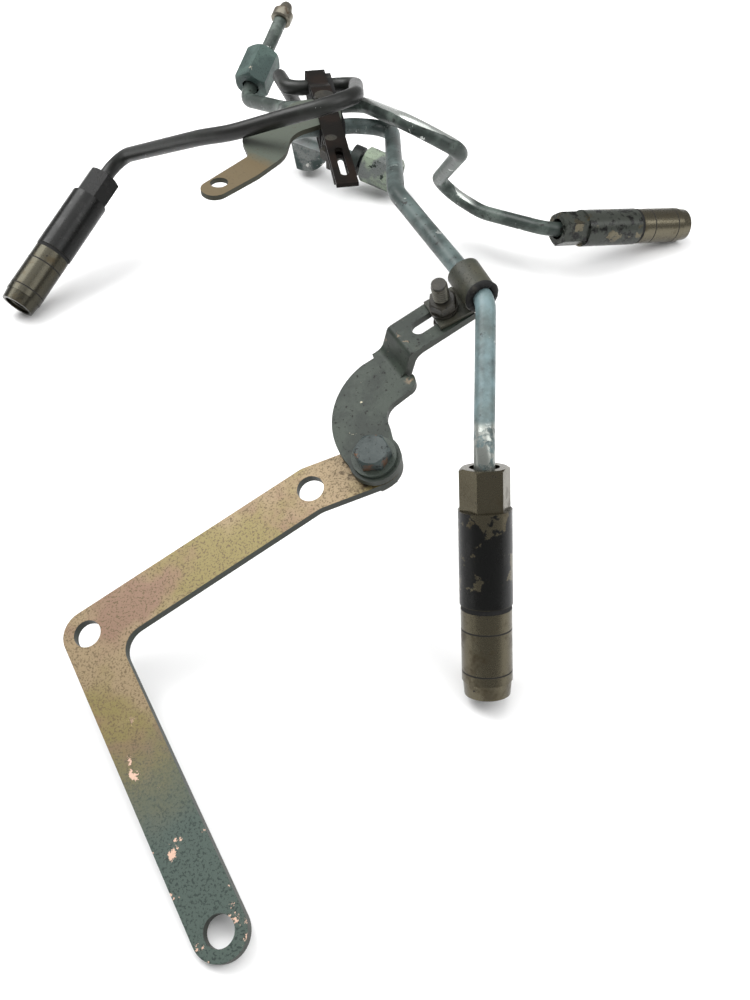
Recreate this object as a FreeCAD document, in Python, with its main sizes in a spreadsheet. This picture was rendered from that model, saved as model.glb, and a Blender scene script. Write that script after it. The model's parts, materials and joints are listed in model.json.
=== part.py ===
"""Three bent steel pressure pipes held in one strap clamp, with their nuts and brackets.

Millimetres, +Z up.  The set stands on the open ends of its three long sleeve nuts and on the
low end of its arm plate.  The origin is the middle of its footprint, on the surface it stands on.
"""
import FreeCAD, Part
import math
import os
import Sketcher
from FreeCAD import Placement, Rotation, Vector

os.makedirs("parts", exist_ok=True)
doc = FreeCAD.newDocument("PipeSet")

# ---------------------------------------------------------------- driving sizes
SIZES = {
    # pipes: 8 mm tube, with a collar and a bullet nose on both ends
    "pipe_radius": 4.0, "pipe_bore": 2.2,
    "nose_collar": 6.3, "nose_collar_length": 7.0, "nose_tip": 2.9, "nose_length": 13.0,
    # long sleeve nuts: hexagon, painted barrel, ringed groove, bare barrel, tapered mouth
    "sleeve_flats": 17.0, "sleeve_hex_length": 16.0, "sleeve_barrel": 10.25, "sleeve_skirt": 9.9,
    "sleeve_mouth": 9.0, "sleeve_length": 90.0, "sleeve_ring_start": 53.0,
    "sleeve_ring_width": 2.0, "sleeve_groove": 8.9, "sleeve_taper_start": 80.0,
    "sleeve_clearance": 5.75, "sleeve_seat": 56.0, "sleeve_chamber": 7.5,
    "sleeve_thread": 7.25, "sleeve_thread_length": 16.0,
    # short union nuts
    "union_flats": 19.0, "union_length": 24.0, "union_clearance": 5.2, "union_seat": 8.0,
    "union_thread": 7.25, "union_nose_start": 11.7, "union_chamfer": 1.2,
    "bush_radius": 9.0, "bush_length": 6.0, "bush_gap": 2.0,
    # thrust rings that carry the nuts' push onto the pipe's collar
    "ring_width": 3.0, "ring_gap": 0.3, "ring_bore": 4.05, "ring_outside": 7.1,
    # strap clamp
    "clamp_pitch": 23.0, "strap_width": 10.5, "strap_thick": 2.0, "strap_slot_width": 4.0,
    "strap_slot_length": 25.5, "lug_thick": 2.5, "lug_hole": 4.25, "clamp_bolt": 3.0,
    "stud_length": 16.0,
    # P clip on the centre pipe
    "clip_band": 7.0, "clip_sheet": 0.8, "clip_width": 15.0, "clip_reach": 13.5,
    "clip_bolt": 3.0, "clip_nut_flats": 10.0,
    # slotted bracket and arm plate, joined by the pivot bolt
    "bracket_thick": 3.5, "bracket_rise": 10.1, "slot_half_width": 3.3,
    "arm_thick": 4.0, "arm_half_width": 10.0, "arm_hole": 5.5,
    "pivot_bolt": 4.0, "pivot_hole": 4.05, "pivot_flats": 13.0, "pivot_washer": 9.0,
}
sheet = doc.addObject("Spreadsheet::Sheet", "Sizes")
for row, (alias, value) in enumerate(SIZES.items(), start=1):
    sheet.set(f"A{row}", alias)
    sheet.set(f"B{row}", str(value))
    sheet.setAlias(f"B{row}", alias)
doc.recompute()
PIPE_RADIUS = SIZES["pipe_radius"]

# The places below are in the bench's own axes; this is the middle of the footprint there.
BENCH_MIDDLE = Vector(-8.41, 372.14, -0.1)
finished = {}


# ---------------------------------------------------------------- small helpers
def bind(obj, **expressions):
    for prop, expression in expressions.items():
        obj.setExpression(prop.replace("_dot_", "."), expression)
    return obj


def cell(alias):
    return f"Sizes.{alias}"


def cylinder(name, radius, height, start="0"):
    obj = doc.addObject("Part::Cylinder", name)
    return bind(obj, Radius=radius, Height=height, Placement_dot_Base_dot_z=start)


def cone(name, low, high, height, start="0"):
    obj = doc.addObject("Part::Cone", name)
    return bind(obj, Radius1=low, Radius2=high, Height=height, Placement_dot_Base_dot_z=start)


def box(name, corner, length, width, height):
    obj = doc.addObject("Part::Box", name)
    obj.Placement = Placement(Vector(*corner), Rotation())
    return bind(obj, Length=length, Width=width, Height=height)


def hexagon(name, flats, height, start="0"):
    obj = doc.addObject("Part::Prism", name)
    obj.Polygon = 6
    return bind(obj, Circumradius=f"{flats} / sqrt(3)", Height=height,
                Placement_dot_Base_dot_z=start)


def fuse(name, *pieces):
    obj = doc.addObject("Part::MultiFuse", name)
    obj.Shapes = list(pieces)
    obj.Refine = True
    return obj


def cut(name, base, *tools):
    obj = doc.addObject("Part::Cut", name)
    obj.Base = base
    obj.Tool = tools[0] if len(tools) == 1 else fuse(name + "_tools", *tools)
    return obj


def common(name, first, second):
    obj = doc.addObject("Part::MultiCommon", name)
    obj.Shapes = [first, second]
    return obj


def chamfered_hexagon(name, flats, height, chamfer):
    """A hexagon along Z whose corners are turned off at both ends."""
    corner = f"{flats} / sqrt(3)"
    turned = fuse(
        name + "_turned",
        cone(name + "_low", f"{corner} - 1.5 * {chamfer}", corner, chamfer),
        cylinder(name + "_middle", corner, f"{height} - 2 * {chamfer}", chamfer),
        cone(name + "_high", corner, f"{corner} - 1.5 * {chamfer}", chamfer, f"{height} - {chamfer}"))
    return common(name, hexagon(name + "_prism", flats, height), turned)


def along(axis, turn=0.0):
    """The turn that lays local Z along axis, after spinning by turn degrees about it."""
    return Rotation(Vector(0, 0, 1), Vector(*axis)).multiply(Rotation(Vector(0, 0, 1), turn))


def put(obj, label, at, rotation=Rotation()):
    obj.Label = label
    obj.Placement = Placement(Vector(*at) - BENCH_MIDDLE, rotation)
    finished[label] = obj
    return obj


def step_from(point, direction, distance):
    return Vector(*point) + Vector(*direction) * distance


# ---------------------------------------------------------------- sketched bodies
def new_body(name):
    return doc.addObject("PartDesign::Body", name)


def origin_plane(body, role):
    return next(item for item in body.Origin.OriginFeatures if item.Role == role)


def sketch_on(body, role, name, edges, height=0.0):
    sketch = body.newObject("Sketcher::SketchObject", name)
    sketch.AttachmentSupport = (origin_plane(body, role), [""])
    sketch.MapMode = "FlatFace"
    sketch.AttachmentOffset = Placement(Vector(0, 0, height), Rotation())
    sketch.addGeometry(edges, False)
    return sketch


def pad(body, name, sketch, length):
    feature = body.newObject("PartDesign::Pad", name)
    feature.Profile = sketch
    bind(feature, Length=length)
    body.Tip = feature
    doc.recompute()
    return feature


def pocket_up(body, name, sketch):
    """Cut from the sketch upwards through everything; the volume must go down."""
    before = body.Shape.Volume
    feature = body.newObject("PartDesign::Pocket", name)
    feature.Profile = sketch
    feature.Type = "ThroughAll"
    feature.Reversed = True
    body.Tip = feature
    doc.recompute()
    if not body.Shape.Volume < before - 1.0:
        raise RuntimeError(f"{name} cuts nothing")
    return feature


def round_holes(body, name, centres, radius_alias, height=0.0):
    """One sketch of equal circles, each radius bound to the sheet, cut upwards."""
    sketch = sketch_on(body, "XY_Plane", name + "_sketch", [], height)
    for index, (x, y) in enumerate(centres):
        circle = Part.Circle(Vector(x, y, 0), Vector(0, 0, 1), SIZES[radius_alias])
        sketch.addGeometry(circle, False)
        sketch.addConstraint(Sketcher.Constraint("Radius", index, SIZES[radius_alias]))
        sketch.setExpression(f"Constraints[{index}]", cell(radius_alias))
    return pocket_up(body, name, sketch)


def rounded_outline(corners):
    """Closed outline of straight sides, each corner (x, y, radius) rounded by an arc."""
    count = len(corners)
    entries, exits, middles = [], [], []
    for index in range(count):
        x, y, radius = corners[index]
        point = Vector(x, y, 0)
        back = Vector(*corners[index - 1][:2], 0) - point
        ahead = Vector(*corners[(index + 1) % count][:2], 0) - point
        half = back.getAngle(ahead) / 2
        reach = radius / math.tan(half)
        back.normalize()
        ahead.normalize()
        entries.append(point + back * reach)
        exits.append(point + ahead * reach)
        bisector = (back + ahead).normalize()
        middles.append(point + bisector * (radius / math.sin(half) - radius))
    edges = []
    for index in range(count):
        if corners[index][2] > 0:
            edges.append(Part.Arc(entries[index], middles[index], exits[index]))
        following = (index + 1) % count
        if (entries[following] - exits[index]).Length > 1e-3:
            edges.append(Part.LineSegment(exits[index], entries[following]))
    return edges


def strip_corners(centres, half_width, bends, round_ends):
    """Corners of a strip of even width along a bent centre line; bends are (inside, outside) radii."""
    points = [Vector(x, y, 0) for x, y in centres]
    runs = [(b - a).normalize() for a, b in zip(points, points[1:])]
    # A round end keeps a hair of straight side between its two quarter circles.
    end_radius = 0.999 * half_width if round_ends else 0.0
    end_reach = half_width if round_ends else 0.0
    ring = []
    for side in (-1, 1):
        normals = [Vector(-run.y, run.x, 0) * side * half_width for run in runs]
        line = [(points[0] - runs[0] * end_reach + normals[0], end_radius)]
        for index, (inside, outside) in enumerate(bends, start=1):
            mitre = normals[index - 1] + normals[index]
            mitre = mitre * (2 * half_width ** 2 / mitre.Length ** 2)
            turning = runs[index - 1].cross(runs[index]).z * side
            line.append((points[index] + mitre, inside if turning > 0 else outside))
        line.append((points[-1] + runs[-1] * end_reach + normals[-1], end_radius))
        ring += line if side < 0 else line[::-1]
    return [(corner.x, corner.y, radius) for corner, radius in ring]


def turned_body(name, profile):
    """A solid of revolution about Z from (radius, height) corners."""
    body = new_body(name)
    corners = [Vector(radius, height, 0) for radius, height in profile]
    edges = [Part.LineSegment(a, b) for a, b in zip(corners, corners[1:] + corners[:1])]
    sketch = sketch_on(body, "XZ_Plane", name + "_profile", edges)
    feature = body.newObject("PartDesign::Revolution", name + "_turning")
    feature.Profile = sketch
    feature.ReferenceAxis = (sketch, ["V_Axis"])
    feature.Angle = 360
    body.Tip = feature
    return body


# ---------------------------------------------------------------- pipes
def tube_along(route, radius):
    """A round bar along straight runs joined by tangent arcs; route is (point, bend radius)."""
    points = [Vector(*point) for point, bend in route]
    edges = []
    here = points[0]
    for index in range(1, len(points) - 1):
        corner, bend = points[index], route[index][1]
        back = (points[index - 1] - corner).normalize()
        ahead = (points[index + 1] - corner).normalize()
        half = back.getAngle(ahead) / 2
        reach = bend / math.tan(half)
        start, end = corner + back * reach, corner + ahead * reach
        middle = corner + (back + ahead).normalize() * (bend / math.sin(half) - bend)
        if (start - here).dot(back) > 1e-6:
            raise RuntimeError(f"bend {index} doesn't fit its run")
        edges += [Part.makeLine(here, start), Part.Arc(start, middle, end).toShape()]
        here = end
    edges.append(Part.makeLine(here, points[-1]))
    path = Part.Wire(edges)
    ring = Part.Wire(Part.makeCircle(radius, points[0], points[1] - points[0]))
    solid = path.makePipeShell([ring], True, False)
    if abs(solid.Volume / (math.pi * radius ** 2 * path.Length) - 1) > 0.01:
        raise RuntimeError("a bent tube has the wrong volume")
    return solid


def pipe(label, route):
    """A bent tube: a free three-dimensional path, so its shape is made in code."""
    obj = doc.addObject("Part::Feature", label)
    obj.Shape = tube_along(route, PIPE_RADIUS).cut(tube_along(route, SIZES["pipe_bore"]))
    return put(obj, label, (0, 0, 0))


def nose(label, at, axis):
    """The collar and bullet that the nut pulls into its seat; the bore runs on through it."""
    bore, collar, tip = SIZES["pipe_bore"], SIZES["nose_collar"], SIZES["nose_tip"]
    shoulder, length = SIZES["nose_collar_length"], SIZES["nose_length"]
    body = turned_body(label, [
        (bore, 0), (collar - 0.8, 0), (collar, 0.8), (collar, shoulder - 1.0),
        (collar - 1.0, shoulder), (collar - 1.6, shoulder), (collar - 1.9, shoulder + 1.6),
        (tip + 0.7, length - 1.2), (tip, length), (bore, length)])
    return put(body, label, at, along(axis))


def sleeve_nut(label, at, axis, turn):
    """Long union nut; local Z runs from the hexagon to the open, threaded mouth."""
    seat, length = cell("sleeve_seat"), cell("sleeve_length")
    hex_end, ring = cell("sleeve_hex_length"), cell("sleeve_ring_start")
    ring_end = f"{ring} + {cell('sleeve_ring_width')}"
    taper, barrel, skirt = cell("sleeve_taper_start"), cell("sleeve_barrel"), cell("sleeve_skirt")
    outside = fuse(
        label + "_outside",
        chamfered_hexagon(label + "_hexagon", cell("sleeve_flats"), f"{hex_end} + 1", "0.8"),
        cylinder(label + "_barrel", barrel, f"{ring} - {hex_end}", hex_end),
        cylinder(label + "_groove", cell("sleeve_groove"), f"{ring_end} - {ring}", ring),
        cylinder(label + "_skirt", skirt, f"{taper} - {ring_end}", ring_end),
        cone(label + "_taper", skirt, cell("sleeve_mouth"), f"{length} - {taper}", taper))
    thread_start = f"{length} - {cell('sleeve_thread_length')}"
    inside = fuse(
        label + "_inside",
        cylinder(label + "_clearance", cell("sleeve_clearance"), seat),
        cylinder(label + "_chamber", cell("sleeve_chamber"), f"{thread_start} - {seat}", seat),
        cylinder(label + "_thread", cell("sleeve_thread"), cell("sleeve_thread_length"),
                 thread_start))
    return put(cut(label, outside, inside), label, at, along(axis, turn))


def groove_ring(label, at, axis):
    """Rubber ring in the sleeve's groove."""
    outer = cylinder(label + "_outer", f"{cell('sleeve_skirt')} - 0.1", cell("sleeve_ring_width"),
                     cell("sleeve_ring_start"))
    inner = cylinder(label + "_inner", cell("sleeve_groove"), cell("sleeve_ring_width"),
                     cell("sleeve_ring_start"))
    return put(cut(label, outer, inner), label, at, along(axis))


def thrust_ring(label, at, axis):
    """Hardened ring between a nut's seat and the pipe's collar."""
    ring = cut(label, cylinder(label + "_blank", cell("ring_outside"), cell("ring_width")),
               cylinder(label + "_bore", cell("ring_bore"), cell("ring_width")))
    return put(ring, label, at, along(axis))


def union_nut(label, at, axis, turn):
    """Short hexagon nut; local Z runs from the pipe side to the threaded mouth."""
    seat, length = cell("union_seat"), cell("union_length")
    blank = chamfered_hexagon(label + "_blank", cell("union_flats"), length,
                              cell("union_chamfer"))
    nut = cut(label, blank,
              cylinder(label + "_clearance", cell("union_clearance"), seat),
              cylinder(label + "_thread", cell("union_thread"), f"{length} - {seat}", seat))
    return put(nut, label, at, along(axis, turn))


# Clamp frame: local X along the pipes, Y along the strap away from its tail, Z up.
CLAMP_AT = Vector(-28.4, 514.0, 88.0)
CLAMP_TURN = Rotation(Vector(0, 0, 1), 9.5)


def in_clamp(x, y, z=0.0):
    return tuple(CLAMP_AT + CLAMP_TURN.multVec(Vector(x, y, z)))


def unit(x, y, z):
    return Vector(x, y, z).normalize()


PITCH = SIZES["clamp_pitch"]
NOSE_IN_SLEEVE = SIZES["sleeve_seat"] + 2 * SIZES["ring_gap"] + SIZES["ring_width"]
SLEEVES = {
    # name: (centre of the hexagon's end, direction to the mouth, spin)
    "left": (Vector(-154.2, 516.2, 44.5), unit(-42.7, -70.7, -36.2), 12),
    "right": (Vector(102.8, 490.1, 28.0), unit(81.7, 34.0, -19.0), 8),
    "center": (Vector(40.6, 255.9, 79.2), unit(3.5, -51.3, -74.0), 0),
}
UNIONS = {
    # name: (centre of the pipe-side end, direction to the mouth, spin)
    "left": (Vector(-45.0, 597.0, 30.0), unit(0.100, 0.180, -0.9786), 20),
    "right": (Vector(-74.5, 583.3, 65.3), unit(0.317, 0.868, 0.385), 15),
    "center": (Vector(-6.7, 578.5, 18.3), unit(0.9025, -0.381, -0.2006), 10),
}


def pipe_end_in_sleeve(side):
    at, axis, spin = SLEEVES[side]
    return step_from(at, axis, NOSE_IN_SLEEVE)


def pipe_end_in_union(side, distance):
    at, axis, spin = UNIONS[side]
    return step_from(at, axis, distance)


UNION_NOSE = {"left": SIZES["union_nose_start"], "right": 51.5, "center": SIZES["union_nose_start"]}


def sleeve_point(side, back):
    at, axis, spin = SLEEVES[side]
    return tuple(step_from(at, axis, -back))


def union_point(side, back):
    at, axis, spin = UNIONS[side]
    return tuple(step_from(at, axis, -back))


ROUTES = {
    # each corner of a route: (point, bend radius); the two ends have no bend
    "left": [
        (tuple(pipe_end_in_sleeve("left")), 0),
        (sleeve_point("left", 15.5), 14),
        ((-88.9, 476.2, 90.8), 60),
        ((-71.2, 464.8, 99.4), 60),
        ((-43.3, 456.4, 111.8), 50),
        ((-9.0, 451.0, 124.0), 19),
        (in_clamp(21.9, PITCH), 12),
        (in_clamp(-16.0, PITCH), 10),
        ((-55.0, 560.0, 84.0), 15),
        (union_point("left", 14.0), 20),
        (tuple(pipe_end_in_union("left", UNION_NOSE["left"])), 0)],
    "right": [
        (tuple(pipe_end_in_union("right", UNION_NOSE["right"])), 0),
        (union_point("right", 9.5), 12),
        ((-52.0, 540.0, 74.0), 30),
        (in_clamp(-17.6, 0.0), 12),
        (in_clamp(21.4, 0.0), 13),
        ((17.1, 447.7, 113.0), 16),
        ((42.5, 451.0, 97.0), 13),
        ((35.5, 537.0, 29.0), 13),
        ((62.0, 511.5, 25.4), 40),
        (sleeve_point("right", 6.0), 14),
        (tuple(pipe_end_in_sleeve("right")), 0)],
    "center": [
        (tuple(pipe_end_in_union("center", UNION_NOSE["center"])), 0),
        (union_point("center", 22.0), 12),
        (in_clamp(-21.6, -PITCH), 11),
        (in_clamp(13.4, -PITCH), 18),
        ((8.9, 492.9, 87.0), 13),
        ((9.3, 398.4, 106.9), 22),
        ((43.0, 315.8, 109.7), 14),
        (sleeve_point("center", 7.0), 18),
        (tuple(pipe_end_in_sleeve("center")), 0)],
}

for side, route in ROUTES.items():
    pipe("pipe_" + side, route)

for side, (at, axis, spin) in SLEEVES.items():
    sleeve_nut("sleeve_nut_" + side, at, axis, spin)
    groove_ring("groove_ring_" + side, at, axis)
    seat = step_from(at, axis, SIZES["sleeve_seat"] + SIZES["ring_gap"])
    thrust_ring("sleeve_thrust_ring_" + side, seat, axis)
    nose("sleeve_nose_" + side, pipe_end_in_sleeve(side), axis)

# short bush on the centre pipe, just behind its union nut
bush = cut("pipe_bush", cylinder("bush_outside", cell("bush_radius"), cell("bush_length")),
           cylinder("bush_bore", cell("ring_bore"), cell("bush_length")))
bush_at = step_from(UNIONS["center"][0], UNIONS["center"][1], -SIZES["bush_length"] - SIZES["bush_gap"])
put(bush, "pipe_bush", bush_at, along(UNIONS["center"][1]))

for side, (at, axis, spin) in UNIONS.items():
    union_nut("union_nut_" + side, at, axis, spin)
    seat = step_from(at, axis, SIZES["union_seat"] + SIZES["ring_gap"])
    thrust_ring("union_thrust_ring_" + side, seat, axis)
    nose("union_nose_" + side, pipe_end_in_union(side, UNION_NOSE[side]), axis)


# ---------------------------------------------------------------- strap clamp
STRAP_LEVEL = 8.3          # underside of the upper leaf, over the lug
STRAP_TAIL = -95.0
STRAP_LOWER_TAIL = -86.0
STRAP_TAIL_LEVEL = 4.6     # underside of the lower leaf at the stud
STRAP_STUD = (-2.0, -52.0)
STRAP_SLOT_MIDDLE = -75.0
STRAP_RIVET = (0.0, -PITCH / 2)


def clamp_strap():
    """Strip folded at the far end: flat upper leaf, and a lower leaf joggled up to the stud."""
    half_thick = SIZES["strap_thick"] / 2
    upper = STRAP_LEVEL + half_thick
    lower = STRAP_TAIL_LEVEL + half_thick
    centres = [(STRAP_TAIL, upper), (2.0, upper), (12.0, upper - 3.2), (33.0, upper - 3.6),
               (33.0, -9.0), (-31.5, -9.0), (-41.5, lower), (STRAP_LOWER_TAIL, lower)]
    bends = [(6, 8), (6, 8), (5, 7), (4, 6), (4, 6), (3, 5)]
    body = new_body("clamp_strap")
    corners = strip_corners(centres, half_thick, bends, False)
    sketch = sketch_on(body, "YZ_Plane", "strap_side", rounded_outline(corners))
    pad(body, "strap_sheet", sketch, cell("strap_width"))
    middle = SIZES["strap_width"] / 2
    half = (SIZES["strap_slot_length"] - SIZES["strap_slot_width"]) / 2
    side = SIZES["strap_slot_width"] / 2
    slot_ends = [(middle, STRAP_SLOT_MIDDLE - half), (middle, STRAP_SLOT_MIDDLE + half)]
    corners = strip_corners(slot_ends, side, [], True)
    slot = sketch_on(body, "XY_Plane", "strap_slot_sketch", rounded_outline(corners), -20.0)
    pocket_up(body, "strap_slot", slot)
    holes = [(middle + x, y) for x, y in (STRAP_STUD, STRAP_RIVET)]
    round_holes(body, "strap_holes", holes, "clamp_bolt", -20.0)
    return put(body, "clamp_strap", in_clamp(-middle, 0), CLAMP_TURN)


def clamp_rubber():
    """Rubber block that the three pipes lie in."""
    block = box("rubber_block", (-5, -28.6, -7.9), "13.5", "57.1", "12.5")
    bores = []
    for index in (-1, 0, 1):
        bore = cylinder(f"rubber_bore_{index + 1}", cell("pipe_radius"), "30")
        bore.Placement = Placement(Vector(-12, index * PITCH, 0), Rotation(Vector(0, 1, 0), 90))
        bore.setExpression("Placement.Base.z", None)
        bores.append(bore)
    rivet = cylinder("rubber_rivet_bore", cell("clamp_bolt"), "30")
    rivet.setExpression("Placement.Base.z", None)
    rivet.Placement = Placement(Vector(STRAP_RIVET[0], STRAP_RIVET[1], -15), Rotation())
    return put(cut("clamp_rubber", block, *bores, rivet), "clamp_rubber", in_clamp(0, 0),
               CLAMP_TURN)


def headed_pin(label, shank, length, head, head_height):
    return fuse(label, cylinder(label + "_shank", shank, length),
                cylinder(label + "_head", head, head_height, length))


def hex_bolt(label, shank, length, flats, head_height):
    """Shank from local z = 0 up to the hexagon head, or the nut's side at z = 0."""
    corner = f"{flats} / sqrt(3)"
    dome = fuse(label + "_dome",
                cylinder(label + "_dome_side", corner, f"{head_height} - 0.9", length),
                cone(label + "_dome_top", corner, f"{corner} - 1.4", "0.9",
                     f"{length} + {head_height} - 0.9"))
    head = common(label + "_head", hexagon(label + "_hexagon", flats, head_height, length), dome)
    return fuse(label, cylinder(label + "_shank", shank, length), head)


def hex_nut(label, bore, flats, height):
    blank = chamfered_hexagon(label + "_blank", flats, height, "0.7")
    return cut(label, blank, cylinder(label + "_bore", bore, height))


def flat_washer(label, bore, outside, height):
    return cut(label, cylinder(label + "_disc", outside, height),
               cylinder(label + "_bore", bore, height))


clamp_strap()
clamp_rubber()
stud_x, stud_y = STRAP_STUD
stud_bottom = STRAP_LEVEL + SIZES["strap_thick"] - SIZES["stud_length"]
stud = cylinder("clamp_stud", cell("clamp_bolt"), cell("stud_length"))
stud.setExpression("Placement.Base.z", None)
put(stud, "clamp_stud", in_clamp(stud_x, stud_y, stud_bottom), CLAMP_TURN)
put(hex_nut("clamp_nut", cell("clamp_bolt"), "10", "5"), "clamp_nut",
    in_clamp(stud_x, stud_y, STRAP_TAIL_LEVEL - 5), CLAMP_TURN)
rivet_x, rivet_y = STRAP_RIVET
put(headed_pin("clamp_rivet", cell("clamp_bolt"), "21.3", "5", "2"), "clamp_rivet",
    in_clamp(rivet_x, rivet_y, -11.0), CLAMP_TURN)


def lug_plate():
    """Flat leaf-shaped lug: a narrow drilled tip, and a wide root under the strap."""
    body = new_body("lug_plate")
    outline = [
        (-83.5, 419.5, 6.5), (-74.5, 409.5, 6.5), (-55.5, 431.0, 25), (-43.5, 449.0, 25),
        (-41.5, 470.0, 16), (-17.0, 486.0, 3), (-19.0, 505.0, 3), (-39.5, 506.0, 14),
        (-53.5, 487.0, 20), (-66.5, 464.5, 8), (-61.5, 448.5, 5)]
    sketch = sketch_on(body, "XY_Plane", "lug_outline", rounded_outline(outline))
    pad(body, "lug_sheet", sketch, cell("lug_thick"))
    round_holes(body, "lug_hole", [(-73.3, 424.2)], "lug_hole")
    rivet_at = in_clamp(*STRAP_RIVET)
    round_holes(body, "lug_rivet_hole", [rivet_at[:2]], "clamp_bolt")
    return put(body, "lug_plate", (0, 0, CLAMP_AT.z + STRAP_LEVEL - SIZES["lug_thick"]))


lug_plate()

# ---------------------------------------------------------------- arm plate and slotted bracket
# Plate frame: local X along the upper arm, Z out of the plate, origin at the top of its third hole.
PLATE_AT = Vector(-25.6, 266.7, 55.5)
PLATE_X = unit(0.8334, 0.4618, 0.3037)
PLATE_Z = unit(-0.197, -0.2652, 0.9439)
PLATE_TURN = Rotation(PLATE_X, PLATE_Z.cross(PLATE_X), PLATE_Z, "XZY")
ARM_FOOT, ARM_CORNER, ARM_HOLE = (-107.2, -122.8), (-103.1, 0.0), (0.0, 0.0)
PIVOT = (27.3, -7.0)
BRACKET_LEVEL = 1.3
TONGUE_LEVEL = BRACKET_LEVEL + SIZES["bracket_rise"]
TONGUE_TOP = TONGUE_LEVEL + SIZES["bracket_thick"]


def on_plate(x, y, z=0.0):
    return tuple(PLATE_AT + PLATE_TURN.multVec(Vector(x, y, z)))


def arm_plate():
    """L-shaped flat bar with three fixing holes and the pivot hole."""
    body = new_body("arm_plate")
    half_width = SIZES["arm_half_width"]
    corners = strip_corners([ARM_FOOT, ARM_CORNER, ARM_HOLE, PIVOT], half_width,
                            [(9.0, half_width), (14.0, half_width)], True)
    pad(body, "arm_sheet", sketch_on(body, "XY_Plane", "arm_outline", rounded_outline(corners)),
        cell("arm_thick"))
    round_holes(body, "arm_holes", [ARM_FOOT, ARM_CORNER, ARM_HOLE], "arm_hole")
    round_holes(body, "arm_pivot_hole", [PIVOT], "pivot_hole")
    return put(body, "arm_plate", on_plate(0, 0, -SIZES["arm_thick"]), PLATE_TURN)


def crescent_edges():
    """Outline of the bracket's low part: broad crescent, waist and round pivot eye."""
    x, y = PIVOT
    eye = 10.5
    start, shoulder = Vector(58.0, 32.6, 0), Vector(46.0, 32.9, 0)
    outer_end = Vector(x - eye * 0.94, y + eye * 0.34, 0)
    inner_start = Vector(x + eye * 0.97, y + eye * 0.25, 0)
    waist_low, waist_high = Vector(39.8, 2.0, 0), Vector(48.0, 9.6, 0)
    heel_low, heel_high = Vector(54.5, 10.2, 0), Vector(60.0, 16.0, 0)
    return [
        Part.LineSegment(start, shoulder),
        Part.Arc(shoulder, Vector(27.0, 24.0, 0), outer_end),
        Part.Arc(outer_end, Vector(x, y - eye, 0), inner_start),
        Part.LineSegment(inner_start, waist_low),
        Part.Arc(waist_low, Vector(42.4, 7.4, 0), waist_high),
        Part.LineSegment(waist_high, heel_low),
        Part.Arc(heel_low, Vector(58.8, 12.0, 0), heel_high),
        Part.LineSegment(heel_high, Vector(58.0, 16.0, 0)),
        Part.LineSegment(Vector(58.0, 16.0, 0), start)]


def slotted_bracket():
    """Pressed bracket: flat crescent, a step up, and a flat slotted tongue."""
    thick, rise = SIZES["bracket_thick"], SIZES["bracket_rise"]
    body = new_body("slotted_bracket")
    crescent = sketch_on(body, "XY_Plane", "crescent_outline", crescent_edges())
    pad(body, "crescent_sheet", crescent, cell("bracket_thick"))
    side_view = [
        (52.0, 0, 0), (59.5, 0, 1.5), (64.5, rise, 5), (93.0, rise, 0), (93.0, rise + thick, 0),
        (61.8, rise + thick, 2.5), (56.8, thick, 4.5), (52.0, thick, 0)]
    tongue = sketch_on(body, "XZ_Plane", "tongue_side", rounded_outline(side_view), -34.8)
    pad(body, "tongue_sheet", tongue, "17.3")
    corners = strip_corners([(71.8, 26.5), (87.7, 26.5)], SIZES["slot_half_width"], [], True)
    slot = sketch_on(body, "XY_Plane", "tongue_slot_sketch", rounded_outline(corners), -1.0)
    pocket_up(body, "tongue_slot", slot)
    round_holes(body, "bracket_pivot_hole", [PIVOT], "pivot_bolt", -1.0)
    return put(body, "slotted_bracket", on_plate(0, 0, BRACKET_LEVEL), PLATE_TURN)


arm_plate()
slotted_bracket()
pivot_top = BRACKET_LEVEL + SIZES["bracket_thick"]
put(flat_washer("pivot_spacer", cell("pivot_bolt"), "9.5", "1"), "pivot_spacer",
    on_plate(*PIVOT, 0.3), PLATE_TURN)
put(flat_washer("pivot_washer", cell("pivot_bolt"), cell("pivot_washer"), "1.6"), "pivot_washer",
    on_plate(*PIVOT, pivot_top), PLATE_TURN)
bolt_under = pivot_top + 1.6
put(hex_bolt("pivot_bolt", cell("pivot_bolt"), "19", cell("pivot_flats"), "5.3"), "pivot_bolt",
    on_plate(*PIVOT, bolt_under - 19.0), PLATE_TURN.multiply(Rotation(Vector(0, 0, 1), 25)))
nut_top = -SIZES["arm_thick"] - 0.3
put(hex_nut("pivot_nut", cell("pivot_bolt"), cell("pivot_flats"), "6.5"), "pivot_nut",
    on_plate(*PIVOT, nut_top - 6.5), PLATE_TURN)

# ---------------------------------------------------------------- P clip
CLIP_BEND = Vector(43.0, 315.8, 109.7)
CLIP_PIPE = (CLIP_BEND - Vector(9.3, 398.4, 106.9)).normalize()
CLIP_AT = CLIP_BEND - CLIP_PIPE * 12.0
CLIP_Y = (CLIP_PIPE - PLATE_Z * CLIP_PIPE.dot(PLATE_Z)).normalize()
CLIP_X = CLIP_Y.cross(PLATE_Z)
CLIP_TURN = Rotation(CLIP_X, CLIP_Y, PLATE_Z, "ZYX")


def on_clip(x, y, z):
    """Clip frame: local Y along the band, X from the pipe towards the clip's bolt."""
    return tuple(CLIP_AT + CLIP_TURN.multVec(Vector(x, y, z)))


def lying_cylinder(name, radius, length, tilt=Rotation()):
    obj = doc.addObject("Part::Cylinder", name)
    bind(obj, Radius=radius, Height=length)
    half = float(SIZES["clip_width"]) / 2
    turn = tilt.multiply(Rotation(Vector(1, 0, 0), -90))
    obj.Placement = Placement(turn.multVec(Vector(0, 0, -half)), turn)
    return obj


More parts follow.
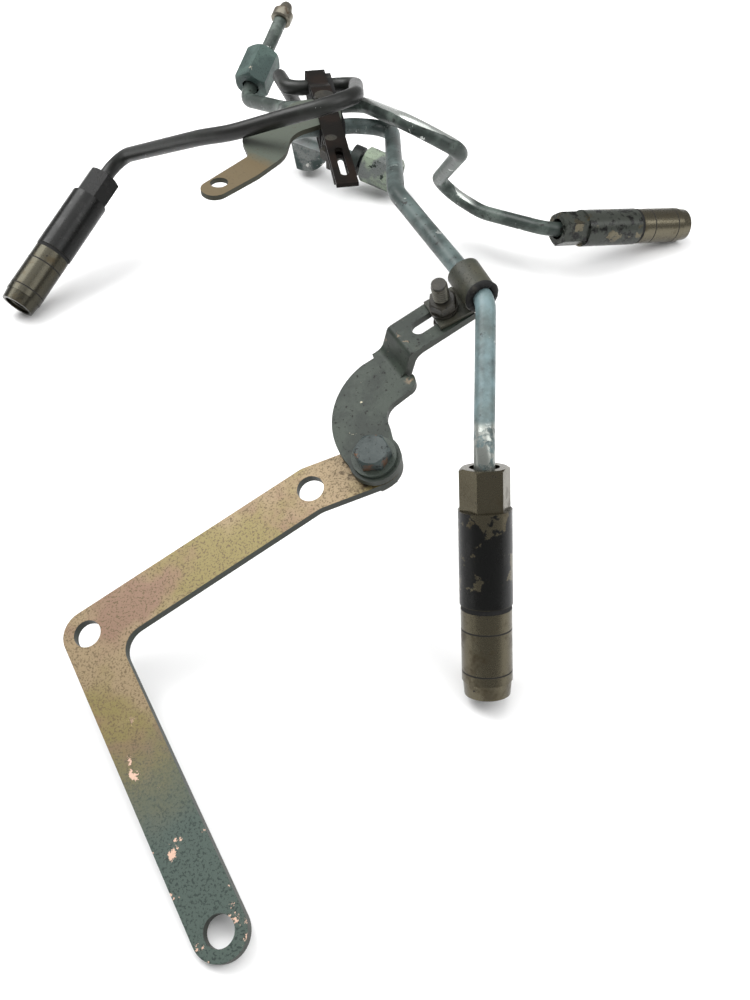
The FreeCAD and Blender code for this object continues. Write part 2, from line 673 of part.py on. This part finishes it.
def p_clip():
    """Band round the rubber with two flat tails, one on the other, and its bolt hole."""
    band, sheet_thick = SIZES["clip_band"], SIZES["clip_sheet"]
    width, reach = SIZES["clip_width"], SIZES["clip_reach"]
    loop = lying_cylinder("band_outside", cell("clip_band"), cell("clip_width"))
    low = box("band_tail_low", (0, -width / 2, -band), f"{cell('clip_reach')} + 5.5",
              cell("clip_width"), cell("clip_sheet"))
    high = box("band_tail_high", (2.0, -width / 2, -band + sheet_thick),
               f"{cell('clip_reach')} + 3.5", cell("clip_width"), cell("clip_sheet"))
    hollow = lying_cylinder("band_inside", f"{cell('clip_band')} - {cell('clip_sheet')}",
                            cell("clip_width"))
    hole = cylinder("band_hole", f"{cell('clip_bolt')} + 0.05", "20")
    hole.setExpression("Placement.Base.z", None)
    hole.Placement = Placement(Vector(reach, 0, -15), Rotation())
    band_shape = cut("p_clip_band", fuse("band_strip", loop, low, high), hollow, hole)
    put(band_shape, "p_clip_band", on_clip(0, 0, 0), CLIP_TURN)

    tilt_axis = CLIP_TURN.inverted().multVec(CLIP_PIPE)
    tilt = Rotation(Vector(0, 1, 0), tilt_axis)
    jacket = lying_cylinder("rubber_jacket", f"{cell('clip_band')} - {cell('clip_sheet')}",
                            cell("clip_width"))
    bore = doc.addObject("Part::Cylinder", "rubber_jacket_bore")
    bind(bore, Radius=f"{cell('pipe_radius')} + 0.05")
    bore.Height = 40
    turn = tilt.multiply(Rotation(Vector(1, 0, 0), -90))
    bore.Placement = Placement(turn.multVec(Vector(0, 0, -20)), turn)
    put(cut("p_clip_rubber", jacket, bore), "p_clip_rubber", on_clip(0, 0, 0), CLIP_TURN)


p_clip()
clip_reach = SIZES["clip_reach"]
tails_low = -SIZES["clip_band"]
tails_top = tails_low + 2 * SIZES["clip_sheet"]
tongue_under = tails_low - 0.3 - SIZES["bracket_thick"]
stud_length = 21.5
stud_start = tongue_under - 0.3
flipped = CLIP_TURN.multiply(Rotation(Vector(1, 0, 0), 180))
put(hex_bolt("clip_bolt", cell("clip_bolt"), str(stud_length), cell("clip_nut_flats"), "4"),
    "clip_bolt", on_clip(clip_reach, 0, stud_start + stud_length), flipped)
put(flat_washer("clip_washer", f"{cell('clip_bolt')}", "5.8", "1.2"), "clip_washer",
    on_clip(clip_reach, 0, tails_top + 0.3), CLIP_TURN)
put(hex_nut("clip_nut", cell("clip_bolt"), cell("clip_nut_flats"), "5"), "clip_nut",
    on_clip(clip_reach, 0, tails_top + 1.5), CLIP_TURN)


# ---------------------------------------------------------------- check and write
doc.recompute()
for obj in doc.Objects:
    if "Invalid" in obj.State or "Error" in obj.State:
        raise RuntimeError(f"{obj.Name} failed: {obj.State}")
for label, obj in finished.items():
    shape = obj.Shape
    if shape.isNull() or not shape.isValid() or not shape.Solids:
        raise RuntimeError(f"{label} has no valid solid")
    if len(shape.Solids) != 1:
        raise RuntimeError(f"{label} has {len(shape.Solids)} solids")
    shape.exportStep(f"parts/{label}.step")

whole = FreeCAD.BoundBox()
for obj in finished.values():
    whole.add(obj.Shape.BoundBox)
print(f"{len(finished)} nodes")
print(f"x {whole.XMin:.2f} to {whole.XMax:.2f}, y {whole.YMin:.2f} to {whole.YMax:.2f}, "
      f"z {whole.ZMin:.2f} to {whole.ZMax:.2f}")
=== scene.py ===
"""Looks of the pressure pipe set: materials, cut threads, light and camera round the CAD frame."""
import json
import math
import random

import bmesh
import bpy
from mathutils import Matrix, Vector


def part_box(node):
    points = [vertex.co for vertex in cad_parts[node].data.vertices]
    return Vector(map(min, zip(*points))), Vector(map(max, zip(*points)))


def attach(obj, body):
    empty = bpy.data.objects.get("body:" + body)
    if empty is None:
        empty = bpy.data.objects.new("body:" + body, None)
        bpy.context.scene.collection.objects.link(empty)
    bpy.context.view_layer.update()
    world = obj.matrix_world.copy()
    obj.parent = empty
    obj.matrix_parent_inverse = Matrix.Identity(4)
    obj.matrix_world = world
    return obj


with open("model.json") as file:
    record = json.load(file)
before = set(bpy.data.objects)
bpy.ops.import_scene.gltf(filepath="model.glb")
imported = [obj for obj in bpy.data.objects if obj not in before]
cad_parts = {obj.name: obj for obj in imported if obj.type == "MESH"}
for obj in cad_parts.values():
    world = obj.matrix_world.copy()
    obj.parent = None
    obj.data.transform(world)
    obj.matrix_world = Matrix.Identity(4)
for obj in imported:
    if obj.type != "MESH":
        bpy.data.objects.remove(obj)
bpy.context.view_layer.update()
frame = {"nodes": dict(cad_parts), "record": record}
NODES = frame["nodes"]
RECORD = frame["record"]
JOINTS = {joint["name"]: joint for joint in RECORD["behaviour"]["joints"]}
SIDES = ("left", "right", "center")
MM = 0.001
SEED = 7
LOWER_RUN = (-0.085, -0.055)
BARE_ZONE = (-0.017, -0.0145)
STREAK_START, STREAK_END = (-0.004, 0.002), (0.068, 0.060)


# ---------------------------------------------------------------- places read from the record
def joint_line(name):
    joint = JOINTS[name]
    return Vector(joint["pos_m"]), Vector(joint["axis"]).normalized()


def span(node, start, axis):
    """How far a node reaches along a line, in metres from the line's start."""
    reach = [(v.co - start).dot(axis) for v in NODES[node].data.vertices]
    return min(reach), max(reach)


def mount_at(name):
    return Vector(next(m["pos_m"] for m in RECORD["mounts"] if m["name"] == name))


# ---------------------------------------------------------------- shader building
def linear(red, green, blue):
    """Screen colour, 0 to 255, as a linear shader colour."""
    def channel(value):
        value /= 255
        return value / 12.92 if value <= 0.04045 else ((value + 0.055) / 1.055) ** 2.4
    return (channel(red), channel(green), channel(blue), 1.0)


class Look:
    """One procedural material: layers of colour and roughness, each laid over the last by a mask."""

    def __init__(self, name, colour, rough, metal=0.0, bump=0.15, bump_scale=900.0, coat=0.0):
        self.material = bpy.data.materials.new(name)
        self.material.use_nodes = True
        self.tree = self.material.node_tree
        self.shader = self.tree.nodes["Principled BSDF"]
        self.place = self.node("ShaderNodeTexCoord")
        self.colour, self.rough, self.metal = colour, rough, metal
        self.height = self.noise(bump_scale, 3.0)
        self.bump_strength = bump
        self.shader.inputs["Specular IOR Level"].default_value = 0.25
        if coat:
            self.shader.inputs["Coat Weight"].default_value = coat
            self.shader.inputs["Coat Roughness"].default_value = 0.3

    def node(self, kind, **settings):
        made = self.tree.nodes.new(kind)
        for key, value in settings.items():
            setattr(made, key, value)
        return made

    def link(self, source, target):
        """Join a source to a socket; a plain value, the same all over, is set on the socket itself."""
        if isinstance(source, bpy.types.NodeSocket):
            self.tree.links.new(source, target)
        else:
            target.default_value = source

    def math(self, operation, first, second):
        made = self.node("ShaderNodeMath", operation=operation)
        self.link(first, made.inputs[0])
        self.link(second, made.inputs[1])
        return made.outputs[0]

    def noise(self, scale, detail=4.0, roughness=0.6, offset=0.0):
        made = self.node("ShaderNodeTexNoise")
        made.inputs["Scale"].default_value = scale
        made.inputs["Detail"].default_value = detail
        made.inputs["Roughness"].default_value = roughness
        place = self.node("ShaderNodeMapping")
        place.inputs["Location"].default_value = (offset, offset * 0.7, offset * 1.3)
        self.link(self.place.outputs["Object"], place.inputs["Vector"])
        self.link(place.outputs[0], made.inputs["Vector"])
        return made.outputs["Fac"]

    def ramp(self, source, low, high):
        """0 below low, 1 above high; swapped limits turn it round."""
        made = self.node("ShaderNodeMapRange")
        made.interpolation_type = "SMOOTHSTEP"
        self.link(source, made.inputs["Value"])
        made.inputs["From Min"].default_value = min(low, high)
        made.inputs["From Max"].default_value = max(low, high)
        made.inputs["To Min"].default_value = 0.0 if low < high else 1.0
        made.inputs["To Max"].default_value = 1.0 if low < high else 0.0
        return made.outputs[0]

    def along(self, start, axis):
        """Distance along a line, in metres."""
        offset = self.node("ShaderNodeVectorMath", operation="SUBTRACT")
        self.link(self.place.outputs["Object"], offset.inputs[0])
        offset.inputs[1].default_value = start
        dot = self.node("ShaderNodeVectorMath", operation="DOT_PRODUCT")
        self.link(offset.outputs["Vector"], dot.inputs[0])
        dot.inputs[1].default_value = axis
        return dot.outputs["Value"]

    def facing(self, axis, low, high):
        """1 where the surface faces along the axis, in the part's own frame."""
        dot = self.node("ShaderNodeVectorMath", operation="DOT_PRODUCT")
        self.link(self.place.outputs["Normal"], dot.inputs[0])
        dot.inputs[1].default_value = axis
        return self.ramp(dot.outputs["Value"], low, high)

    def both(self, first, second):
        return self.math("MULTIPLY", first, second)

    def band(self, source, middle, half_width, blur=0.0002):
        rise = self.ramp(source, middle - half_width - blur, middle - half_width)
        fall = self.ramp(source, middle + half_width + blur, middle + half_width)
        return self.both(rise, fall)

    def over(self, mask, colour, rough=None, metal=None, dip=0.0):
        mix = self.node("ShaderNodeMix", data_type="RGBA")
        self.link(mask, mix.inputs[0])
        self.link(self.colour, mix.inputs[6])
        mix.inputs[7].default_value = colour
        self.colour = mix.outputs[2]
        for key, number in (("rough", rough), ("metal", metal)):
            if number is None:
                continue
            blend = self.node("ShaderNodeMix", data_type="FLOAT")
            self.link(mask, blend.inputs[0])
            self.link(getattr(self, key), blend.inputs[2])
            blend.inputs[3].default_value = number
            setattr(self, key, blend.outputs[0])
        if dip:
            self.height = self.math("SUBTRACT", self.height, self.math("MULTIPLY", mask, dip))
        return self

    def finish(self):
        self.link(self.colour, self.shader.inputs["Base Color"])
        grain = self.math("MULTIPLY", self.noise(2600.0, 2.0), 0.14)
        rough = self.math("ADD", self.rough, self.math("SUBTRACT", grain, 0.07))
        self.link(rough, self.shader.inputs["Roughness"])
        self.link(self.metal, self.shader.inputs["Metallic"])
        bump = self.node("ShaderNodeBump")
        bump.inputs["Strength"].default_value = self.bump_strength
        bump.inputs["Distance"].default_value = 0.0003
        self.link(self.height, bump.inputs["Height"])
        self.link(bump.outputs["Normal"], self.shader.inputs["Normal"])
        return self.material


EDGE = 0.0004
HEX_SHARE = 0.178
GROOVE_SHARES = (0.70, 0.89)
BARE = linear(172, 176, 172)
DARK = linear(26, 25, 23)
RUST = linear(92, 66, 48)


def painted_pipe(name, deep, pale, chips, offset):
    look = Look(name, deep, 0.42, bump=0.18, bump_scale=500.0, coat=0.15)
    look.over(look.ramp(look.noise(60.0, 5.0, offset=offset), 0.42, 0.62), pale, 0.48)
    look.over(look.ramp(look.noise(420.0, 3.0, offset=offset), 0.60, 0.70), DARK, 0.6)
    bare = look.ramp(look.noise(110.0, 6.0, 0.7, offset + 3), chips, chips + 0.015)
    look.over(bare, BARE, 0.3, 0.7, 0.8)
    return look


def sleeve_look(side, steel_tone, paint, chips, hex_bare):
    start, axis = joint_line(f"sleeve_{side}_turn")
    low, high = span("sleeve_nut_" + side, start, axis)
    ring_low = span("groove_ring_" + side, start, axis)[0]
    look = Look("sleeve_" + side, steel_tone, 0.26, 0.95, bump=0.12, bump_scale=1400.0)
    far = look.along(start, axis)
    stain = look.ramp(look.noise(75.0, 6.0, 0.7, 5.0), 0.50, 0.66)
    look.over(stain, linear(66, 59, 45), 0.42, 0.8)
    look.over(look.ramp(look.noise(260.0, 5.0, 0.7, 8.0), 0.64, 0.70), DARK, 0.6, 0.2)
    painted = look.ramp(far, ring_low + EDGE, ring_low - EDGE)
    kept = look.ramp(look.noise(70.0, 8.0, 0.68, offset=2.0), chips + 0.01, chips)
    mask = look.both(painted, kept)
    if hex_bare:
        hex_end = low + (high - low) * HEX_SHARE
        mask = look.both(mask, look.ramp(far, hex_end - EDGE, hex_end + EDGE))
    look.over(mask, paint, 0.30, 0.15)
    mottled = look.both(mask, look.ramp(look.noise(190.0, 5.0, offset=4.0), 0.5, 0.64))
    look.over(mottled, linear(14, 14, 13), 0.2, 0.1)
    for share in GROOVE_SHARES:
        look.over(look.band(far, low + (high - low) * share, 0.00022), DARK, 0.7, 0.1, 1.0)
    return look.finish()


def worn_paint(name, colour, second, chip_colour, chips, offset, rough=0.45, chip_metal=0.3,
               speckle=1500.0):
    look = Look(name, colour, rough, bump=0.2, bump_scale=1100.0)
    look.over(look.ramp(look.noise(85.0, 5.0, offset=offset), 0.42, 0.62), second)
    look.over(look.ramp(look.noise(speckle, 3.0, offset=offset), 0.58, 0.70), DARK, 0.7)
    chipped = look.ramp(look.noise(150.0, 7.0, 0.7, offset + 5), chips, chips + 0.02)
    look.over(chipped, chip_colour, 0.4, chip_metal, 0.7)
    return look


def assign(material, *nodes):
    for node in nodes:
        for slot in NODES[node].material_slots:
            slot.material = material


# pipes
pipe_looks = {
    "left": painted_pipe("pipe_left", linear(18, 19, 17), linear(30, 32, 29), 0.67, 1.0),
    "right": painted_pipe("pipe_right", linear(46, 54, 50), linear(84, 94, 88), 0.635, 4.0),
    "center": painted_pipe("pipe_center", linear(52, 61, 59), linear(82, 94, 92), 0.64, 9.0)}
center = pipe_looks["center"]
sleeve_start, sleeve_axis = joint_line("sleeve_center_turn")
above_sleeve = center.along(sleeve_start, sleeve_axis)
clip_at, clip_axis = joint_line("p_clip_turn")
lower_run = center.ramp(above_sleeve, *LOWER_RUN)
worn_run = center.both(lower_run, center.ramp(center.noise(90.0, 5.0), 0.30, 0.66))
center.over(worn_run, linear(108, 129, 132), 0.4)
ring_of_bare = center.both(center.ramp(above_sleeve, *BARE_ZONE),
                           center.ramp(center.noise(150.0, 6.0, 0.7, 6.0), 0.60, 0.52))
center.over(ring_of_bare, linear(140, 144, 139), 0.3, 0.7, 0.5)

# long scraped streak on the upper side of the right pipe
right = pipe_looks["right"]
across = right.along((0, 0, 0), (1, 0, 0))
scraped = right.both(right.ramp(across, *STREAK_START), right.ramp(across, *STREAK_END))
ragged = right.math("ADD", right.facing((0, 0, 1), 0.45, 0.95),
                    right.math("MULTIPLY", right.noise(120.0, 6.0, 0.7, 2.0), 0.5))
right.over(right.both(scraped, right.ramp(ragged, 0.86, 0.98)), BARE, 0.28, 0.7, 0.6)
for side in SIDES:
    assign(pipe_looks[side].finish(), "pipe_" + side)

# sleeves
# the left sleeve's steel tone is darker than the others: painted shade, for the dark surroundings its
# metal reflects
sleeve_paints = {"left": (linear(62, 60, 52), linear(9, 10, 9), 0.72, False),
                 "right": (linear(98, 93, 79), linear(54, 57, 52), 0.57, False),
                 "center": (linear(90, 85, 71), linear(11, 12, 11), 0.54, True)}
for side, settings in sleeve_paints.items():
    assign(sleeve_look(side, *settings), "sleeve_nut_" + side)

# union nuts and noses
union_paints = {
    "left": (linear(112, 116, 114), linear(48, 62, 60), linear(190, 190, 184), 0.62),
    "right": (linear(52, 67, 64), linear(70, 87, 82), linear(186, 180, 164), 0.67),
    "center": (linear(96, 100, 98), linear(132, 144, 126), linear(44, 50, 46), 0.60)}
for number, (side, (first, second, chip, chips)) in enumerate(union_paints.items()):
    assign(worn_paint("union_" + side, first, second, chip, chips, number * 3.0).finish(),
           "union_nut_" + side)


def steel(name, colour, stain, rough=0.32):
    look = Look(name, colour, rough, 0.9, bump=0.1, bump_scale=1600.0)
    look.over(look.ramp(look.noise(160.0, 6.0, 0.7), 0.50, 0.64), stain, 0.5, 0.5)
    look.over(look.ramp(look.noise(700.0, 4.0), 0.64, 0.72), DARK, 0.6, 0.2)
    return look.finish()


assign(steel("nose_steel", linear(118, 114, 103), linear(76, 65, 52)),
       *[f"{kind}_{side}" for kind in ("sleeve_nose", "union_nose", "sleeve_thrust_ring",
                                       "union_thrust_ring") for side in SIDES])

# rubber
rubber = Look("black_rubber", linear(24, 24, 24), 0.75, bump=0.3, bump_scale=800.0)
rubber.over(rubber.ramp(rubber.noise(140.0, 5.0), 0.55, 0.68), linear(52, 50, 46), 0.85)
RUBBER = rubber.finish()
assign(RUBBER, "clamp_rubber", "p_clip_rubber", *["groove_ring_" + side for side in SIDES])

# strap clamp, bush, fasteners
strap = worn_paint("strap_rusty", linear(15, 12, 9), linear(26, 18, 13), linear(84, 64, 46), 0.68, 2.0,
                   0.5)
strap.shader.inputs["Specular IOR Level"].default_value = 0.1
# painted shade: faces of the strap turned downward and away from the top get a flat dark brown
strap.over(strap.facing((0, 0, 1), 0.35, -0.2), linear(18, 15, 12), 0.6)
assign(strap.finish(), "clamp_strap")
FASTENER = worn_paint("dark_fastener", linear(38, 37, 33), linear(56, 53, 45), RUST, 0.66, 6.0,
                      0.42).finish()
assign(FASTENER, "clamp_stud", "clamp_nut", "clamp_rivet", "clip_bolt", "clip_washer", "clip_nut",
       "pivot_nut", "pivot_spacer")
assign(worn_paint("bush_dark", linear(22, 25, 24), linear(38, 44, 41), linear(84, 86, 80), 0.68,
                  8.0).finish(), "pipe_bush")

# arm plate: chromate on the upper arm, dark green paint towards the foot
corner_at, foot_at = mount_at("arm_corner_hole"), mount_at("arm_foot_hole")
upper_at = mount_at("arm_upper_hole")
down_leg = (foot_at - corner_at).normalized()
leg_length = (foot_at - corner_at).length
pivot_at, plate_normal = joint_line("arm_pivot")
arm = Look("arm_chromate", linear(134, 117, 90), 0.38, 0.2, bump=0.14, bump_scale=1500.0)
down = arm.along(corner_at, down_leg)
arm.over(arm.ramp(arm.noise(28.0, 3.0, offset=2.0), 0.44, 0.62), linear(120, 109, 68), 0.36)
arm.over(arm.ramp(arm.noise(35.0, 3.0, offset=11.0), 0.50, 0.68), linear(124, 99, 82), 0.40)
arm.over(arm.ramp(arm.noise(1300.0, 3.0), 0.50, 0.62), linear(96, 82, 60), 0.5)
drift = arm.math("ADD", down, arm.math("MULTIPLY", arm.noise(70.0, 6.0), 0.030))
arm.over(arm.ramp(drift, leg_length * 0.40, leg_length * 0.86), linear(74, 86, 80), 0.45, 0.1)
arm.over(arm.both(arm.ramp(drift, leg_length * 0.5, leg_length * 0.9),
                  arm.ramp(arm.noise(1100.0, 4.0, offset=6.0), 0.50, 0.62)), linear(50, 60, 56), 0.5)
specks = arm.both(arm.ramp(down, 0.030, 0.060), arm.ramp(arm.noise(95.0, 6.0, 0.7, 3.0), 0.615, 0.63))
arm.over(specks, linear(206, 172, 152), 0.5, 0.1, 0.5)
flakes = arm.both(arm.ramp(down, 0.070, 0.085), arm.ramp(arm.noise(90.0, 6.0, 0.7, 7.0), 0.69, 0.70))
arm.over(flakes, linear(184, 206, 172), 0.5, 0.1)
# darker brown just past the upper hole: dirt on the paint plus a painted shadow of the curved bracket
past_hole = arm.along(upper_at, (upper_at - corner_at).normalized())
arm.over(arm.both(arm.ramp(past_hole, 0.008, 0.018), arm.ramp(arm.noise(300.0, 5.0), 0.48, 0.60)),
         linear(70, 58, 42), 0.6)
# painted shade: the plate's edges and back, turned away from its face, are darker
arm.over(arm.facing(plate_normal, 0.75, 0.35), linear(48, 52, 46), 0.5, 0.2)
assign(arm.finish(), "arm_plate")

# lug: grey-green root, tan zinc tip
lug_at = mount_at("lug_hole")
lug_low, lug_high = (Vector(corner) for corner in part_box("lug_plate"))
lug_middle = (lug_low + lug_high) / 2
tipward = Vector((lug_at.x - lug_middle.x, lug_at.y - lug_middle.y, 0)).normalized()
lug = Look("lug_zinc", linear(86, 92, 83), 0.42, 0.2, bump=0.14, bump_scale=1400.0)
tip = lug.math("ADD", lug.along(lug_middle, tipward), lug.math("MULTIPLY", lug.noise(120.0, 4.0), 0.012))
lug.over(lug.ramp(tip, 0.016, 0.026), linear(104, 92, 70), 0.4, 0.2)
lug.over(lug.ramp(lug.noise(1000.0, 3.0), 0.60, 0.72), linear(82, 76, 64), 0.6)
# painted shade: the lug's edges and underside, turned away from the top, are darker
lug.over(lug.facing((0, 0, 1), 0.7, 0.3), linear(56, 56, 46), 0.5)
assign(lug.finish(), "lug_plate")

# slotted bracket: speckled paint, bare tan spot on the step
bracket = worn_paint("bracket_speckled", linear(37, 44, 38), linear(52, 60, 52), linear(166, 160, 138),
                     0.69, 12.0, speckle=600.0)
slide_axis = Vector(JOINTS["bracket_slide"]["axis"])
from_pivot = bracket.along(pivot_at, slide_axis)
step_spot = bracket.both(bracket.band(from_pivot, 0.0335, 0.003, 0.003),
                         bracket.ramp(bracket.noise(120.0, 5.0, offset=1.5), 0.60, 0.68))
bracket.over(step_spot, linear(140, 121, 99), 0.5)
# painted shade: the bracket's edges and back, turned away from its face, are darker
bracket.over(bracket.facing(plate_normal, 0.6, 0.2), linear(50, 54, 48), 0.5)
assign(bracket.finish(), "slotted_bracket")
band = worn_paint("clip_band", linear(53, 55, 47), linear(66, 65, 54), linear(156, 144, 108), 0.68, 15.0)
assign(band.finish(), "p_clip_band")
bolt = worn_paint("pivot_bolt", linear(46, 55, 54), linear(62, 70, 69), RUST, 0.62, 18.0,
                  speckle=700.0)
bolt.over(bolt.both(bolt.facing(plate_normal, 0.6, 0.2), bolt.ramp(bolt.noise(200.0, 5.0), 0.45, 0.6)),
          RUST, 0.6)
assign(bolt.finish(), "pivot_bolt")
assign(worn_paint("pivot_washer", linear(58, 66, 60), linear(72, 79, 71), RUST, 0.66, 20.0).finish(),
       "pivot_washer")

# ---------------------------------------------------------------- cut threads and torn rubber
TURN_STEPS = 36


def mesh_piece(name, bm, material, body):
    data = bpy.data.meshes.new(name)
    bm.normal_update()
    bm.to_mesh(data)
    bm.free()
    piece = bpy.data.objects.new(name, data)
    bpy.context.scene.collection.objects.link(piece)
    data.materials.append(material)
    for polygon in data.polygons:
        polygon.use_smooth = True
    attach(piece, body)
    return piece


def thread(name, start, axis, low, high, radius, depth, pitch, material, body):
    """Helical ridge on a shank; a negative depth stands inwards, as in a nut."""
    side = axis.orthogonal().normalized()
    other = axis.cross(side)
    bm = bmesh.new()
    rings = []
    turns = (high - low - pitch) / pitch
    count = max(2, int(turns * TURN_STEPS))
    for step in range(count + 1):
        share = step / count
        angle = 2 * math.pi * turns * share
        fade = min(1.0, step / TURN_STEPS * 2, (count - step) / TURN_STEPS * 2)
        out = side * math.cos(angle) + other * math.sin(angle)
        height = low + pitch / 2 + (high - low - pitch) * share
        tucked = -0.06 * MM if depth > 0 else 0.06 * MM
        section = ((-0.42, tucked), (-0.1, depth * fade), (0.1, depth * fade), (0.42, tucked))
        rings.append([bm.verts.new(start + axis * (height + z * pitch) + out * (radius + r))
                      for z, r in section])
    for first, second in zip(rings, rings[1:]):
        for index in range(3):
            bm.faces.new((first[index], first[index + 1], second[index + 1], second[index]))
    return mesh_piece(name, bm, material, body)


THREAD_STEEL = steel("thread_steel", linear(96, 94, 86), linear(60, 52, 42), 0.3)
clip_start, clip_bolt_axis = joint_line("clip_bolt_turn")
nut_top = span("clip_nut", clip_start, clip_bolt_axis)[1]
stud_top = span("clip_bolt", clip_start, clip_bolt_axis)[1]
thread("clip_stud_thread", clip_start, clip_bolt_axis, nut_top, stud_top, 3.0 * MM, 0.36 * MM, 1.25 * MM,
       THREAD_STEEL, "clip_bolt")
for side in SIDES:
    start, axis = joint_line(f"sleeve_{side}_turn")
    mouth = span("sleeve_nut_" + side, start, axis)[1]
    thread(f"sleeve_mouth_thread_{side}", start, axis, mouth - 15 * MM, mouth - 1 * MM, 7.25 * MM,
           -0.45 * MM, 1.5 * MM, THREAD_STEEL, "sleeve_" + side)


def torn_lip():
    """Ragged edge of the clip's rubber, standing out of the band's lower end."""
    rubber_high = span("p_clip_rubber", clip_at, clip_axis)[1]
    side = clip_axis.orthogonal().normalized()
    other = clip_axis.cross(side)
    random.seed(SEED)
    bm = bmesh.new()
    rings = []
    count = 64
    wobble = [random.uniform(0.0, 1.0) for _ in range(count)]
    for step in range(count):
        angle = 2 * math.pi * step / count
        out = side * math.cos(angle) + other * math.sin(angle)
        tear = (wobble[step] + wobble[(step + 1) % count]) * 0.5 * MM
        section = ((4.15 * MM, 0.2 * MM), (4.4 * MM, 1.2 * MM + tear), (5.9 * MM, 1.3 * MM + tear),
                   (6.9 * MM + tear * 0.3, 0.9 * MM), (6.6 * MM, -0.4 * MM))
        rings.append([bm.verts.new(clip_at + clip_axis * (rubber_high - 0.6 * MM + z) + out * r)
                      for r, z in section])
    for index, ring in enumerate(rings):
        following = rings[(index + 1) % count]
        for corner in range(len(ring) - 1):
            bm.faces.new((ring[corner], following[corner], following[corner + 1], ring[corner + 1]))
    return mesh_piece("clip_rubber_lip", bm, RUBBER, "p_clip")


torn_lip()

# ---------------------------------------------------------------- floor, light and camera
floor_mesh = bpy.data.meshes.new("floor")
bm = bmesh.new()
bmesh.ops.create_grid(bm, x_segments=1, y_segments=1, size=6.0)
bm.to_mesh(floor_mesh)
bm.free()
floor = bpy.data.objects.new("floor", floor_mesh)
floor.location.z = -0.0002
bpy.context.scene.collection.objects.link(floor)
floor_paint = bpy.data.materials.new("floor_pale")
floor_paint.use_nodes = True
floor_paint.node_tree.nodes["Principled BSDF"].inputs["Base Color"].default_value = (0.9, 0.9, 0.9, 1)
floor_paint.node_tree.nodes["Principled BSDF"].inputs["Roughness"].default_value = 0.9
floor_mesh.materials.append(floor_paint)

world = bpy.data.worlds.new("studio")
world.use_nodes = True
world.node_tree.nodes["Background"].inputs["Color"].default_value = (1, 1, 1, 1)
world.node_tree.nodes["Background"].inputs["Strength"].default_value = 0.42
bpy.context.scene.world = world
bpy.context.scene.view_settings.view_transform = "Standard"


def area_light(name, place, target, size, power):
    data = bpy.data.lights.new(name, "AREA")
    data.size, data.energy = size, power
    light = bpy.data.objects.new(name, data)
    light.location = place
    light.rotation_euler = (Vector(target) - Vector(place)).to_track_quat("-Z", "Y").to_euler()
    bpy.context.scene.collection.objects.link(light)


area_light("key_light", (-0.7, 0.4, 1.0), (0, 0, 0.05), 0.8, 14.0)
area_light("fill_light", (0.9, -0.3, 0.9), (0, 0, 0.05), 0.9, 9.5)
area_light("top_light", (0.0, 0.1, 1.5), (0, 0, 0.0), 1.4, 14.0)

CAMERA_TILT = 48.3
CAMERA_PLACE = (8.41 * MM, -372.14 * MM, 348.1 * MM)
camera_data = bpy.data.cameras.new("camera")
camera_data.lens, camera_data.sensor_width = 36.0, 36.0
camera_data.clip_start = 0.01
camera = bpy.data.objects.new("camera", camera_data)
camera.location = CAMERA_PLACE
camera.rotation_euler = (math.radians(90 - CAMERA_TILT), 0, 0)
bpy.context.scene.collection.objects.link(camera)
bpy.context.scene.camera = camera
